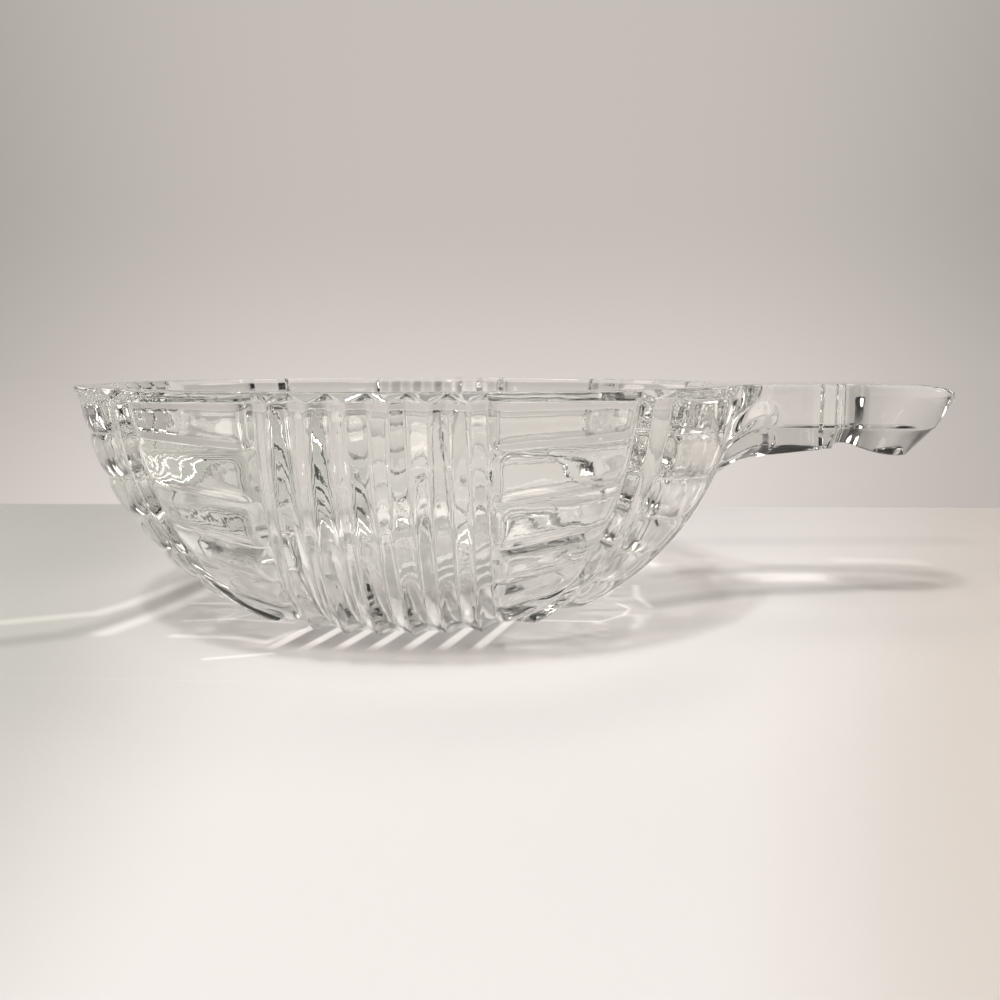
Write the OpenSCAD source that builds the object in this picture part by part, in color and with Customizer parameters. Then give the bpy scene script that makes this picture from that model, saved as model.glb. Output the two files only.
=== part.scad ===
// Round serving dish of pressed clear glass with one solid tab handle.
// The origin is the centre of the flat base, on the bowl's axis. +X runs out
// along the handle and +Z up. The real dish is one pressing: the bowl and the
// handle are drawn as two solids that meet along the bowl's outer wall.

/* [Bowl] */
// Radius of the rim, to the plain wall between the ribs
rim_r = 76; // [70:1:84]
// Height from the table to the rim
bowl_h = 53; // [50:0.5:58]
// Radius of the flat base
base_r = 37.5; // [35:0.5:40]
// Lean of the upper wall from vertical, in degrees
wall_lean = 9; // [7:0.5:11]
// Radius of the curve between the upper wall and the base
belly_r = 60.5; // [58:0.5:63]
// Thickness of the wall under the ribs
wall_t = 4.4; // [3.4:0.1:5.4]
// Thickness of the floor
floor_t = 5.6; // [4.5:0.1:7]

/* [Rim] */
// Width of the bevel at the rim, beyond what it takes off a rib
bevel_w = 0.4; // [0.2:0.1:1]
// Fall of that bevel below level, in degrees
bevel_fall = 30; // [20:1:40]
// How far the wall flares out at the rim
rim_flare = 1; // [0:0.1:1.5]
// Depth below the rim at which the flare starts
flare_l = 4; // [3:0.5:6]
// Width of the slope inside the rim
lip_w = 0.9; // [0.4:0.1:1.5]
// Depth of the slope inside the rim
lip_d = 1.1; // [0.5:0.1:2]

/* [Ribs] */
// Prism ribs in each of the four groups
rib_count = 6; // [4:2:8]
// Height of a rib above its grooves
rib_d = 2.1; // [1:0.1:2.6]
// Width of a group of ribs at the rim
group_w = 41; // [38:0.5:44]
// Width of a group of ribs at the base
group_base_w = 42; // [38:0.5:44]
// Length over which the ribs die out above the base
rib_fade = 6.5; // [6.5:0.5:9]

/* [Bars and corner ribs] */
// Level bars in each panel, from the rim down
bar_count = 6; // [4:1:6]
// Height of a bar above the plain wall
bar_d = 1.7; // [1.2:0.1:2.2]
// Depth of the groove between two bars
bar_groove_d = 0.9; // [0.4:0.1:1.2]
// Where the top of a bar lies, as a share of its width from its upper side
bar_crest = 0.35; // [0.25:0.05:0.5]
// Spacing of the bars next to the ribs, measured down the wall
bar_pitch = 10.5; // [9.5:0.1:10.7]
// Spacing of the bars next to a corner rib
bar_corner_pitch = 9.1; // [8:0.1:10]
// Width of a corner rib at the rim
corner_w = 11; // [9:0.2:13]
// Width of a corner rib at the base
corner_base_w = 7; // [5:0.2:8]
// Height of a corner rib
corner_d = 2.1; // [1:0.1:2.6]
// Turn of the corner ridges away from the handle's axis, in degrees
corner_shift = 3.8; // [2:0.2:5]
// Share of a corner rib's width that lies on the steep side of its ridge
corner_front = 0.2; // [0.1:0.05:0.5]

/* [Handle] */
// Length of the handle, from the rim out to its tip
handle_l = 55; // [50:0.5:60]
// Distance from the rim out to the plain neck
neck_out = 7; // [5:0.5:10]
// Width of the neck
neck_w = 24.5; // [21:0.5:27]
// Depth of the neck where it starts
neck_d = 17; // [15:0.2:18.4]
// Depth of the neck where the waist starts
neck_end_d = 15.4; // [14:0.2:17]
// Depth of the upright side of the neck and the end pad
side_d = 10.5; // [9:0.2:12]
// Width of the sloping face under each side
chine_w = 4.2; // [3:0.2:6]
// Distance from the rim out to the middle of the waist
waist_out = 27; // [25:0.5:29]
// Length of the waist
waist_l = 5; // [4:0.2:7]
// Width at the waist
waist_w = 19; // [16:0.5:20.5]
// Depth at the waist
waist_d = 14.2; // [13:0.2:15]
// Width of the end pad
pad_w = 28; // [25:0.5:31]
// Depth of the end pad next to the waist
pad_start_d = 14.8; // [14:0.2:16]
// Depth of the end pad where it is deepest
pad_d = 16.9; // [16:0.1:18.5]
// Length of the rounded end of the pad
pad_end_l = 16; // [12:0.5:18]
// Drop of the pad's top at the tip
pad_drop = 2; // [1:0.1:3]
// How far the lower edge of the side stops short of the tip
side_rake = 4.5; // [3:0.5:7]
// How far the underside stops short of the tip
under_rake = 10.5; // [9:0.5:12]
// Rounding of the handle's top edge
edge_r = 0.9; // [0.4:0.1:0.9]

/* [Handle root] */
// Angle from the handle at which its edges leave the rim, in degrees
root_angle = 35; // [30:1:38]
// Height of a flute where it ends at the neck
flute_d = 1.3; // [0.8:0.1:1.8]
// Plain side above the top flute at the neck
flute_top = 3.8; // [3.4:0.1:5]
// Step at the flutes' ends, in at the neck's sides and out at its underside
flute_step = 0.5; // [0.3:0.1:0.8]
// Length of the scalloped ends of the flutes
scallop_l = 0.9; // [0.5:0.1:2]
// Distance down the wall at which the keel leaves the bowl
keel_s = 31; // [28:0.5:34]
// Distance down the wall at which the outer flute leaves the bowl
flank_s = 14; // [12:0.5:17]
// Distance from the rim in to the bend of the keel
keel_in = 0.5; // [0:0.5:2]
// Distance from the rim out to the bend of the top edge
shoulder_out = 3; // [1:0.5:4]

/* [Hidden] */
glass_tint = "#DCE1DF";
// Overrun of a cut past the face that it opens
over = 2;
// How deep the root starts inside the bowl
bury = 1.6;
// Turn of the pad's end at its last facets, which leaves a blunt tip
end_turn = 88;
$fn = 120;

// Rows of facets down one bar, and rows below the last bar
bar_rows = 4;
foot_rows = 2;
// Places of the facet lines across a panel, from the ribs to the corner rib
panel_shares = [0.07, 0.17, 0.33, 0.5, 0.67, 0.83, 0.93];
// Steps along the handle root and round the pad's end
root_steps = 9;
end_steps = 7;
// Facet lines in the plain part of the root's side
flank_lines = 3;
// Places of the facet lines across the waist, from one end of it to near its middle
waist_shares = [1, 0.8, 0.45];

quarters = 4;
quarter = 360 / quarters;

function lerp(a, b, k) = a + (b - a) * k;
function unit(v) = v / norm(v);

// Plain wall: a straight lean, then one arc to the base
rim_point = [rim_r, bowl_h];
down = [-sin(wall_lean), -cos(wall_lean)];
inward = [-cos(wall_lean), sin(wall_lean)];
arc_offset = rim_point + belly_r * inward - [base_r, 0];
half_b = down * arc_offset;
lean_l = -half_b - sqrt(half_b * half_b - arc_offset * arc_offset + belly_r * belly_r);
arc_centre = rim_point + lean_l * down + belly_r * inward;
foot_angle = asin(arc_centre.y / belly_r);
wall_l = lean_l + belly_r * (foot_angle - wall_lean) * PI / 180;

// Angle of the wall from vertical, and its radius and height, s down from the rim
function wall_angle(s) = s < lean_l ? wall_lean : wall_lean + (s - lean_l) / belly_r * 180 / PI;
function wall_point(s, out = 0) =
    s < lean_l
        ? rim_point + s * down - out * inward
        : arc_centre + (belly_r + out) * [cos(wall_angle(s)), -sin(wall_angle(s))];
function wall_r(s) = wall_point(s).x;
function wall_normal(s, angle) =
    let (a = wall_angle(s)) [cos(a) * cos(angle), cos(a) * sin(angle), -sin(a)];

// Half width of a group and the angle to its edge
function group_half(s) = lerp(group_w, group_base_w, min(1, s / wall_l)) / 2;
function group_angle(s) = asin(group_half(s) / wall_r(s));

// Angles from the middle of quarter q to its corner ridge and to that rib's edge.
// Quarters 0 and 2 hold the groups on the handle's axis, and a corner rib is steep on
// the side away from them.
function corner_angle(q) = quarter / 2 + (q % 2 == 0 ? corner_shift : -corner_shift);
function corner_side(q, s) =
    lerp(corner_w, corner_base_w, min(1, s / wall_l)) * (q % 2 == 0 ? 1 - corner_front : corner_front);
function corner_edge(q, s) = corner_angle(q) - corner_side(q, s) / wall_r(s) * 180 / PI;

// A lane is one line of facets down the wall: [kind, place, 1 on a ridge or else 0],
// where the kind is 0 in the ribs, 1 in a panel and 2 on the ridge of a corner rib
half_ribs = [for (k = [-rib_count:rib_count]) [0, k / rib_count, abs(k) % 2]];
panel_side = [for (p = panel_shares) [1, p, 0]];
quarter_lanes = concat(
    [[2, -1, 1], [1, -1, 0]],
    [for (i = [len(panel_side) - 1:-1:0]) [1, -panel_side[i][1], 0]],
    half_ribs,
    panel_side,
    [[1, 1, 0]]
);

function lane_angle(q, lane, s) =
    q * quarter + (
        lane[0] == 0 ? asin(lane[1] * group_half(s) / wall_r(s))
        : lane[0] == 2 ? sign(lane[1]) * corner_angle(q)
        : sign(lane[1]) * lerp(group_angle(s), corner_edge(q, s), abs(lane[1]))
    );

// Height of the pattern above the plain wall. The bars are flat-topped, with their
// tops near the upper side, and the first has no groove above it.
function foot_fade(s) = min(1, max(0, (wall_l - s) / rib_fade));
function bar_height(q, share, s) =
    let (
        pitch = lerp(bar_pitch, bar_corner_pitch, share),
        panel_l = wall_r(s) * (corner_edge(q, s) - group_angle(s)) * PI / 180,
        cap = min(pitch, panel_l) / 2,
        from_end = min(share, 1 - share) * panel_l,
        along = max(0, 1 - from_end / cap),
        place = s / pitch - floor(s / pitch),
        above = s < pitch ? 0 : 1 - place / bar_crest,
        across = place < bar_crest ? above : (place - bar_crest) / (1 - bar_crest)
    )
    floor(s / pitch) >= bar_count ? 0
    : max(0, bar_d * (1 - pow(along, 4)) - bar_groove_d * pow(across, 4));
function flare(s) = rim_flare * pow(max(0, 1 - s / flare_l), 2);
function relief(q, lane, s) = flare(s) + foot_fade(s) * (
    lane[0] == 0 ? rib_d * lane[2]
    : lane[0] == 2 ? corner_d
    : bar_height(q, abs(lane[1]), s));

// Rows follow the bars, which draw together a little towards the corner ribs
last_row = bar_rows * bar_count;
function row_s(lane, row) =
    let (
        share = lane[0] == 0 ? 0 : lane[0] == 2 ? 1 : abs(lane[1]),
        bars_l = bar_count * lerp(bar_pitch, bar_corner_pitch, share)
    )
    row <= last_row ? bars_l * row / last_row
    : lerp(bars_l, wall_l, (row - last_row) / foot_rows);

// One ring of points right round the bowl at a row of the grid
function round_point(p, angle) = [p.x * cos(angle), p.x * sin(angle), p.y];
function wall_ring(row) = [
    for (q = [0:quarters - 1])
        for (lane = quarter_lanes)
            let (s = row_s(lane, row))
            round_point(wall_point(s, relief(q, lane, s)), lane_angle(q, lane, s))
];
// The rim's flat top runs out over the bars and stops short of the ribs
function flat_r(q, lane) =
    rim_r - bevel_w + (lane[0] == 1 ? relief(q, lane, 0) : flare(0)) / cos(wall_lean);
// The first row ends on the bevel, so that each rib is cut off by its slope
function bevel_ring() = [
    for (q = [0:quarters - 1])
        for (lane = quarter_lanes)
            let (
                top_r = rim_r + relief(q, lane, 0) / cos(wall_lean),
                fall = (top_r - flat_r(q, lane)) * tan(bevel_fall),
                r = top_r - fall * tan(wall_lean)
            )
            round_point([r, bowl_h - fall], lane_angle(q, lane, 0))
];
function crest_ring(z) = [
    for (q = [0:quarters - 1])
        for (lane = quarter_lanes)
            round_point([flat_r(q, lane), z], lane_angle(q, lane, 0))
];

// Closed skin over rings of equal length, with a fan of facets on each end
module skin(rings) {
    n = len(rings[0]);
    m = len(rings);
    ones = [for (i = [1:n]) 1];
    first = (ones * rings[0]) / n;
    last = (ones * rings[m - 1]) / n;
    points = concat([for (ring = rings) each ring], [first, last]);
    sides = [
        for (i = [0:m - 2])
            for (j = [0:n - 1])
                let (a = i * n + j, b = i * n + (j + 1) % n)
                each [[a, a + n, b + n], [a, b + n, b]]
    ];
    first_cap = [for (j = [0:n - 1]) [m * n, j, (j + 1) % n]];
    last_cap = [for (j = [0:n - 1]) [m * n + 1, (m - 1) * n + (j + 1) % n, (m - 1) * n + j]];
    polyhedron(points, concat(sides, first_cap, last_cap));
}

// Bowl without its hollow, from the base up; rise lifts its top for a cut
module bowl_block(rise = 0) {
    skin(concat(
        [for (row = [last_row + foot_rows:-1:1]) wall_ring(row)],
        [bevel_ring(), crest_ring(bowl_h)],
        rise > 0 ? [crest_ring(bowl_h + rise)] : []
    ));
}

// Smooth inside, pressed by the plunger
module hollow() {
    inner_r = belly_r - wall_t;
    inner_foot = asin((arc_centre.y - floor_t) / inner_r);
    mouth_r = rim_r - wall_t / cos(wall_lean);
    // The curve starts where the lean ends, and always below the slope inside the rim
    below_lip = bowl_h - 1.5 * lip_d;
    curve_start = max(wall_lean, asin((arc_centre.y - below_lip) / inner_r));
    arc_steps = 12;
    rotate_extrude()
        polygon(concat(
            [
                [0, bowl_h + over],
                [mouth_r + lip_w, bowl_h + over],
                [mouth_r + lip_w, bowl_h],
                [mouth_r - lip_d * tan(wall_lean), bowl_h - lip_d],
            ],
            [
                for (i = [0:arc_steps])
                    let (a = lerp(curve_start, inner_foot, i / arc_steps))
                    arc_centre + inner_r * [cos(a), -sin(a)]
            ],
            [[0, floor_t]]
        ));
}

module bowl() {
    color(glass_tint)
        difference() {
            bowl_block();
            hollow();
        }
}

// Half of a section of the handle, from the middle of its underside round to
// the top, as [how far out, how far below the rim]. It has three faces for the
// flutes: half the underside, the sloping chine and the upright side.
function section_path(half, depth, chine) =
    [[0, depth], [half - chine, depth], [half, side_d], [half, flute_top]];
function on_path(path, place) =
    let (
        faces = len(path) - 1,
        face = min(faces - 1, floor(place * faces)),
        part = place * faces - face
    )
    lerp(path[face], path[face + 1], part);
function path_normal(path, place) =
    let (
        faces = len(path) - 1,
        face = min(faces - 1, floor(place * faces)),
        along = unit(path[face + 1] - path[face])
    )
    [0, -along.y, -along.x];

// One lane of the root: [start on the bowl, bend, end at the neck, its normals,
// whether it is a ridge]. The flutes carry on the ribs of the bowl.
neck_x = rim_r + neck_out;
shoulder_x = rim_r + shoulder_out;
keel_x = rim_r - keel_in;
crest_point = [rim_r - bevel_w - bury, bowl_h];
root_half = neck_w / 2 + flute_step;
root_path = section_path(root_half, neck_d - flute_step, chine_w);
function flute_lane(k) =
    let (
        place = k / rib_count,
        s = lerp(keel_s, flank_s, place),
        turn = asin(place * group_half(s) / wall_r(s)),
        foot = on_path(root_path, place),
        end = [neck_x, foot.x, bowl_h - foot.y],
        bend = [lerp(keel_x, shoulder_x, place), end.y, end.z]
    )
    [
        round_point(wall_point(s, -bury), turn),
        bend,
        end,
        wall_normal(s, turn),
        path_normal(root_path, place),
        k % 2
    ];
function flank_lane(k) =
    let (
        place = k / flank_lines,
        s = lerp(flank_s, 0, place),
        turn = lerp(group_angle(flank_s), root_angle, place),
        end = [neck_x, root_half, bowl_h - lerp(flute_top, 0, place)]
    )
    [
        round_point(k < flank_lines ? wall_point(s, -bury) : crest_point, turn),
        [shoulder_x, end.y, end.z],
        end,
        wall_normal(s, turn),
        [0, 1, 0],
        0
    ];
root_lanes = concat(
    [for (k = [0:rib_count]) flute_lane(k)],
    [for (k = [1:flank_lines]) flank_lane(k)]
);
function root_point(lane, t) =
    let (
        place = (1 - t) * (1 - t) * lane[0] + 2 * t * (1 - t) * lane[1] + t * t * lane[2],
        out = unit(lerp(lane[3], lane[4], t))
    )
    place + lerp(rib_d, flute_d, t) * lane[5] * out;

// Stations along the neck, the waist and the pad, each as
// [distance, half width, depth, share of the rake and of the drop at the tip]
handle_reach = rim_r + handle_l;
waist_x = rim_r + waist_out;
waist_half_l = waist_l / 2;
round_start = handle_reach - pad_end_l;
function waist_station(share, side) =
    let (hollow_share = sqrt(1 - share * share))
    [
        waist_x + side * share * waist_half_l,
        lerp(side < 0 ? neck_w : pad_w, waist_w, hollow_share) / 2,
        lerp(side < 0 ? neck_end_d : pad_start_d, waist_d, hollow_share),
        0
    ];
stations = concat(
    [[neck_x + scallop_l, neck_w / 2, neck_d, 0]],
    [for (share = waist_shares) waist_station(share, -1)],
    [waist_station(0, 1)],
    [for (i = [len(waist_shares) - 1:-1:0]) waist_station(waist_shares[i], 1)],
    [
        for (i = [0:end_steps])
            let (turn = end_turn * i / end_steps, k = sin(turn))
            [lerp(round_start, handle_reach, k), pad_w / 2 * cos(turn), pad_d, k]
    ]
);
function grip_side(st) =
    let (
        half = st[1],
        path = section_path(half, st[2], min(chine_w, half / 2)),
        drop = pad_drop * st[3] * st[3],
        edge = min(edge_r, half / 2),
        rakes = [under_rake, under_rake, side_rake, 0]
    )
    concat(
        [
            for (k = [0:rib_count])
                let (p = on_path(path, k / rib_count), rake = on_path(rakes, k / rib_count))
                [st[0] - rake * st[3], p.x, bowl_h - p.y]
        ],
        [
            [st[0], half, bowl_h - (flute_top + drop + edge) / 2],
            [st[0], half, bowl_h - drop - edge],
            [st[0] - edge * st[3], half - edge, bowl_h - drop]
        ]
    );

// The whole handle is one skin: the fluted root that sweeps the ribs out of the
// bowl, the scalloped step down to the neck, the waist and the pad
function mirrored(p) = [p.x, -p.y, p.z];
function whole_ring(side) =
    concat([for (i = [len(side) - 1:-1:1]) mirrored(side[i])], side);
module handle_block() {
    skin(concat(
        [
            for (i = [0:root_steps])
                whole_ring([for (lane = root_lanes) root_point(lane, i / root_steps)])
        ],
        [for (st = stations) whole_ring(grip_side(st))]
    ));
}

module handle() {
    color(glass_tint)
        difference() {
            handle_block();
            bowl_block(over);
        }
}

bowl();
handle();
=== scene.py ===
"""Round serving dish of pressed clear glass with one solid tab handle, on a pale table.

The real dish is one pressing, so the bowl and the handle are built as two closed skins
from the same sizes as the CAD model, joined into one glass body and softened as the
maker's fire polish does. The script works in metres, in the frame of the CAD model.
"""

import math

import bpy
import numpy as np
from mathutils import Matrix, Vector


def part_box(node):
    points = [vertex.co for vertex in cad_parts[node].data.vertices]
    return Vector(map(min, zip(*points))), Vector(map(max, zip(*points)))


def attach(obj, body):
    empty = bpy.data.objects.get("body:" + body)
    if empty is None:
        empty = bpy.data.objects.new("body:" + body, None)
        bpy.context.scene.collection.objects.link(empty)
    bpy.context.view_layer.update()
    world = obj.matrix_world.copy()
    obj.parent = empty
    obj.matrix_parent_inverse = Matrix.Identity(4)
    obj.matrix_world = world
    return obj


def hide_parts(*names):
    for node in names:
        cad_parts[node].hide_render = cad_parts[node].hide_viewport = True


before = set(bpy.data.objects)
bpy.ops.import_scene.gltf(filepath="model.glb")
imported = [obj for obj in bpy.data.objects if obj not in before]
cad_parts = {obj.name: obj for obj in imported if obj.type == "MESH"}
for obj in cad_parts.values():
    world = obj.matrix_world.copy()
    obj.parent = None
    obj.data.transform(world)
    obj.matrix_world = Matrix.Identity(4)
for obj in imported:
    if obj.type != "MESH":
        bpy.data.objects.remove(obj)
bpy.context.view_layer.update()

MM = 0.001

# Sizes that the CAD model fixes
BASE_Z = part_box("bowl")[0].z
BOWL_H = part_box("bowl")[1].z

# Bowl
RIM_R = 76 * MM
BASE_R = 37.5 * MM
WALL_LEAN = math.radians(9)
BELLY_R = 60.5 * MM
WALL_T = 4.4 * MM
FLOOR_T = 5.6 * MM
FLOOR_FILLET = 9 * MM

# Rim, a bevel outside and a slope inside, with edges melted round by fire polish
BEVEL_W = 0.4 * MM
BEVEL_FALL = math.radians(30)
RIM_FLARE = 1.0 * MM
FLARE_L = 4 * MM
LIP_W = 0.9 * MM
LIP_D = 1.1 * MM
LIP_END_D = 3 * LIP_D
POLISH_R = 0.35 * MM

# Prism ribs, level bars and corner ribs
RIB_COUNT = 6
RIB_D = 2.1 * MM
GROUP_W = 41 * MM
GROUP_BASE_W = 42 * MM
RIB_FADE = 6.5 * MM
BAR_COUNT = 6
BAR_D = 1.7 * MM
BAR_GROOVE_D = 0.9 * MM
BAR_PITCH = 10.5 * MM
BAR_CORNER_PITCH = 9.1 * MM
# Where a bar stands out most, as a share of its pitch, and how square its outline is
BAR_CREST_SHARE = 0.35
BAR_SQUARE = 4
CORNER_W = 11 * MM
CORNER_BASE_W = 7 * MM
CORNER_D = 2.1 * MM
CORNER_SHIFT = math.radians(3.8)
# Share of a corner rib's width that its steep side takes
CORNER_FRONT_SHARE = 0.2
# How keen the ridges are: 1 is a knife edge, less is rounder
KEENNESS = 0.992
# First row of the pattern's mesh below the rim, as a share of a bar's pitch
FIRST_ROW_SHARE = 0.25

# Handle: X is a place out from the axis, D a depth below the rim, W a width and L a length
HANDLE_REACH = RIM_R + 55 * MM
NECK_X = RIM_R + 7 * MM
NECK_W = 24.5 * MM
NECK_D = 17 * MM
NECK_END_D = 15.4 * MM
SIDE_D = 10.5 * MM
CHINE_W = 4.2 * MM
WAIST_X = RIM_R + 27 * MM
WAIST_L = 5 * MM
WAIST_W = 19 * MM
WAIST_D = 14.2 * MM
PAD_W = 28 * MM
PAD_START_D = 14.8 * MM
PAD_D = 16.9 * MM
PAD_END_L = 16 * MM
PAD_DROP = 2 * MM
SIDE_RAKE = 4.5 * MM
UNDER_RAKE = 10.5 * MM
EDGE_R = 0.9 * MM

# Handle root, whose flutes run out from the bowl's ribs to the neck
ROOT_ANGLE = math.radians(35)
FLUTE_D = 1.3 * MM
FLUTE_TOP_D = 3.8 * MM
FLUTE_STEP = 0.5 * MM
ROOT_HALF_W = NECK_W / 2 + FLUTE_STEP
SCALLOP_L = 3 * MM
# Share of SCALLOP_L that the grooves between the flutes reach
GROOVE_REACH_SHARE = 0.35
# How far down the wall the flutes start, under the root's middle and at its sides
KEEL_S = 31 * MM
FLANK_S = 14 * MM
KEEL_X = RIM_R - 0.5 * MM
SHOULDER_X = RIM_R + 3 * MM
BURY = 1.6 * MM
# The handle's top lies a hair under the rim's flat, so that the two skins never share a face
TOP_SINK = 0.05 * MM

QUARTERS = 4
QUARTER = 2 * math.pi / QUARTERS

# How finely the skins are sampled
FACET_SHARES = (0, 0.08, 0.25, 0.5, 0.75, 0.92)
BAR_SHARES = (0, 0.03, 0.1, 0.2, 0.32, 0.44, 0.56, 0.68, 0.8, 0.9, 0.97)
PANEL_STEPS = 26
FOOT_STEPS = 8
POLISH_STEPS = 5
INNER_STEPS = 36
DISC_STEPS = 8
ROOT_STEPS = 44
FLANK_STEPS = 10
NECK_STEPS = 8
WAIST_STEPS = 16
PAD_STEPS = 26
TOP_STEPS = 8
EDGE_STEPS = 4
LEAN_STEPS = 10
FILLET_STEPS = 8
BEVEL_PASSES = 3
SOFTEN_STEPS = 2
SOFTEN_SHARE = 0.5
# How far round the pad's end is drawn, just short of its tip
PAD_TURN = math.radians(88)
# How far the rings that close the handle's start are drawn in
CLOSING_SHARES = (0.02, 0.2, 0.4, 0.6, 0.8)

# Camera, which stands in front of the bowl and a little to the handle's side
CAMERA_AT = (20.6 * MM, -241.8 * MM, 58.2 * MM)
CAMERA_TURN = math.radians(1.65)
CAMERA_PITCH = math.radians(8.16)
CAMERA_LENS = 34.8
SENSOR_W = 36.0
NEAREST_SEEN = 10 * MM


def lerp(a, b, k):
    """The value a share k of the way from a to b."""
    return a + (b - a) * k


def unit(v):
    return v / np.linalg.norm(v, axis=-1, keepdims=True)


def rounded_wave(x):
    """0 at even x and 1 at odd x, with straight flanks and softly rounded turns."""
    return 0.5 - np.arcsin(KEENNESS * np.cos(math.pi * x)) / (2 * math.asin(KEENNESS))


# Plain wall of the bowl: a straight lean, then one arc to the base
RIM_POINT = np.array([RIM_R, BOWL_H])
DOWN = np.array([-math.sin(WALL_LEAN), -math.cos(WALL_LEAN)])
INWARD = np.array([-math.cos(WALL_LEAN), math.sin(WALL_LEAN)])
ARC_OFFSET = RIM_POINT + BELLY_R * INWARD - np.array([BASE_R, 0])
HALF_B = DOWN @ ARC_OFFSET
LEAN_L = -HALF_B - math.sqrt(HALF_B**2 - ARC_OFFSET @ ARC_OFFSET + BELLY_R**2)
ARC_CENTRE = RIM_POINT + LEAN_L * DOWN + BELLY_R * INWARD
FOOT_ANGLE = math.asin(ARC_CENTRE[1] / BELLY_R)
WALL_L = LEAN_L + BELLY_R * (FOOT_ANGLE - WALL_LEAN)


def wall_angle(s):
    """Angle of the plain wall from vertical, s down the wall from the rim."""
    return WALL_LEAN + np.maximum(0, s - LEAN_L) / BELLY_R


def wall_point(s, out=0.0):
    """Radius and height of a point s down the wall and out from its plain surface."""
    angle = wall_angle(s)
    lean_s = np.minimum(s, LEAN_L)
    spare = (lean_s - LEAN_L)[..., None] * DOWN
    round_off = np.stack([np.cos(angle), -np.sin(angle)], -1)
    return ARC_CENTRE + spare + (BELLY_R + np.asarray(out))[..., None] * round_off


def group_half_w(s):
    """Half of the width of a group of ribs, s down the wall."""
    return lerp(GROUP_W, GROUP_BASE_W, np.clip(s / WALL_L, 0, 1)) / 2


def group_angle(s):
    """Angle from the middle of a group of ribs to its edge, s down the wall."""
    return np.arcsin(group_half_w(s) / wall_point(s)[..., 0])


def corner_edge(s):
    """Angle from the middle of the nearest group to the corner rib's edge, s down the wall."""
    side = lerp(CORNER_W, CORNER_BASE_W, np.clip(s / WALL_L, 0, 1)) * CORNER_SHARE
    return CORNER_TURN - side / wall_point(s)[..., 0]


# A lane is a line down the wall. Its zone is the ribs, a panel of bars or a corner rib, and
# its place runs from 0 to 1 across that zone, away from the middle of the group of ribs.
RIBS, PANEL, CORNER = range(3)


def half_quarter_lanes():
    """(zone, place) of each lane from the middle of a group to just before the corner ridge."""
    ribs = [(RIBS, (k + share) / RIB_COUNT) for k in range(RIB_COUNT) for share in FACET_SHARES]
    ease = [(1 - math.cos(math.pi * i / PANEL_STEPS)) / 2 for i in range(PANEL_STEPS)]
    panel = [(PANEL, place) for place in ease]
    corner = [(CORNER, share) for share in FACET_SHARES]
    return ribs + panel + corner


def quarter_lanes():
    """(zone, place, side) of each lane from one corner ridge to just before the next."""
    half = half_quarter_lanes()
    left = [(zone, place, -1) for zone, place in reversed(half[1:])]
    right = [(zone, place, 1) for zone, place in half]
    return np.array([(CORNER, 1, -1)] + left + right, float)


LANES = np.tile(quarter_lanes(), (QUARTERS, 1))
ZONE, PLACE, SIDE = LANES.T
QUARTER_NUMBER = np.repeat(np.arange(QUARTERS), len(LANES) // QUARTERS)
QUARTER_TURN = QUARTER_NUMBER * QUARTER
# The corner ridges lie nearer to the front and back groups, and are steep on that side
ON_AXIS = QUARTER_NUMBER % 2 == 0
CORNER_TURN = QUARTER / 2 + CORNER_SHIFT * np.where(ON_AXIS, 1, -1)
CORNER_SHARE = np.where(ON_AXIS, 1 - CORNER_FRONT_SHARE, CORNER_FRONT_SHARE)
# Share of the way from the ribs to the corner rib, along which the bars draw together
PANEL_SHARE = np.select([ZONE == RIBS, ZONE == PANEL], [0, PLACE], 1)
PITCH = lerp(BAR_PITCH, BAR_CORNER_PITCH, PANEL_SHARE)


def everywhere(value):
    """The same value on every lane."""
    return np.full(len(LANES), float(value))


def lane_angle(s):
    """Angle round the axis of every lane, s down the wall."""
    ribs = np.arcsin(PLACE * group_half_w(s) / wall_point(s)[..., 0])
    panel = lerp(group_angle(s), corner_edge(s), PLACE)
    corner = lerp(corner_edge(s), CORNER_TURN, PLACE)
    return QUARTER_TURN + SIDE * np.select([ZONE == RIBS, ZONE == PANEL], [ribs, panel], corner)


def bar_height(s):
    """Height of the bars: flat-topped lobes that overhang each other like clapboards."""
    panel_l = wall_point(s)[..., 0] * (corner_edge(s) - group_angle(s))
    cap = np.minimum(PITCH, panel_l) / 2
    from_end = np.minimum(PANEL_SHARE, 1 - PANEL_SHARE) * panel_l
    along = np.maximum(0, 1 - from_end / cap)
    place = s / PITCH - np.floor(s / PITCH)
    above = np.where(s < PITCH, 0, 1 - place / BAR_CREST_SHARE)
    across = np.where(place < BAR_CREST_SHARE, above, (place - BAR_CREST_SHARE) / (1 - BAR_CREST_SHARE))
    height = BAR_D * (1 - along**BAR_SQUARE) - BAR_GROOVE_D * across**BAR_SQUARE
    return np.maximum(0, height) * (s / PITCH < BAR_COUNT)


def flare(s):
    """How far the wall flares out towards the rim."""
    return RIM_FLARE * np.maximum(0, 1 - s / FLARE_L) ** 2


def relief(s):
    """Height of the pattern above the plain wall on every lane."""
    ribs = RIB_D * rounded_wave(PLACE * RIB_COUNT)
    corner = CORNER_D * rounded_wave(PLACE)
    fade = np.clip((WALL_L - s) / RIB_FADE, 0, 1)
    pattern = np.select([ZONE == RIBS, ZONE == PANEL], [ribs, bar_height(s)], corner)
    return flare(s) + fade * pattern


def turned(profile, angle):
    """Points of a (radius, height) profile turned round the axis."""
    r, z = profile[..., 0], profile[..., 1]
    return np.stack([r * np.cos(angle), r * np.sin(angle), z + 0 * angle], -1)


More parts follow.
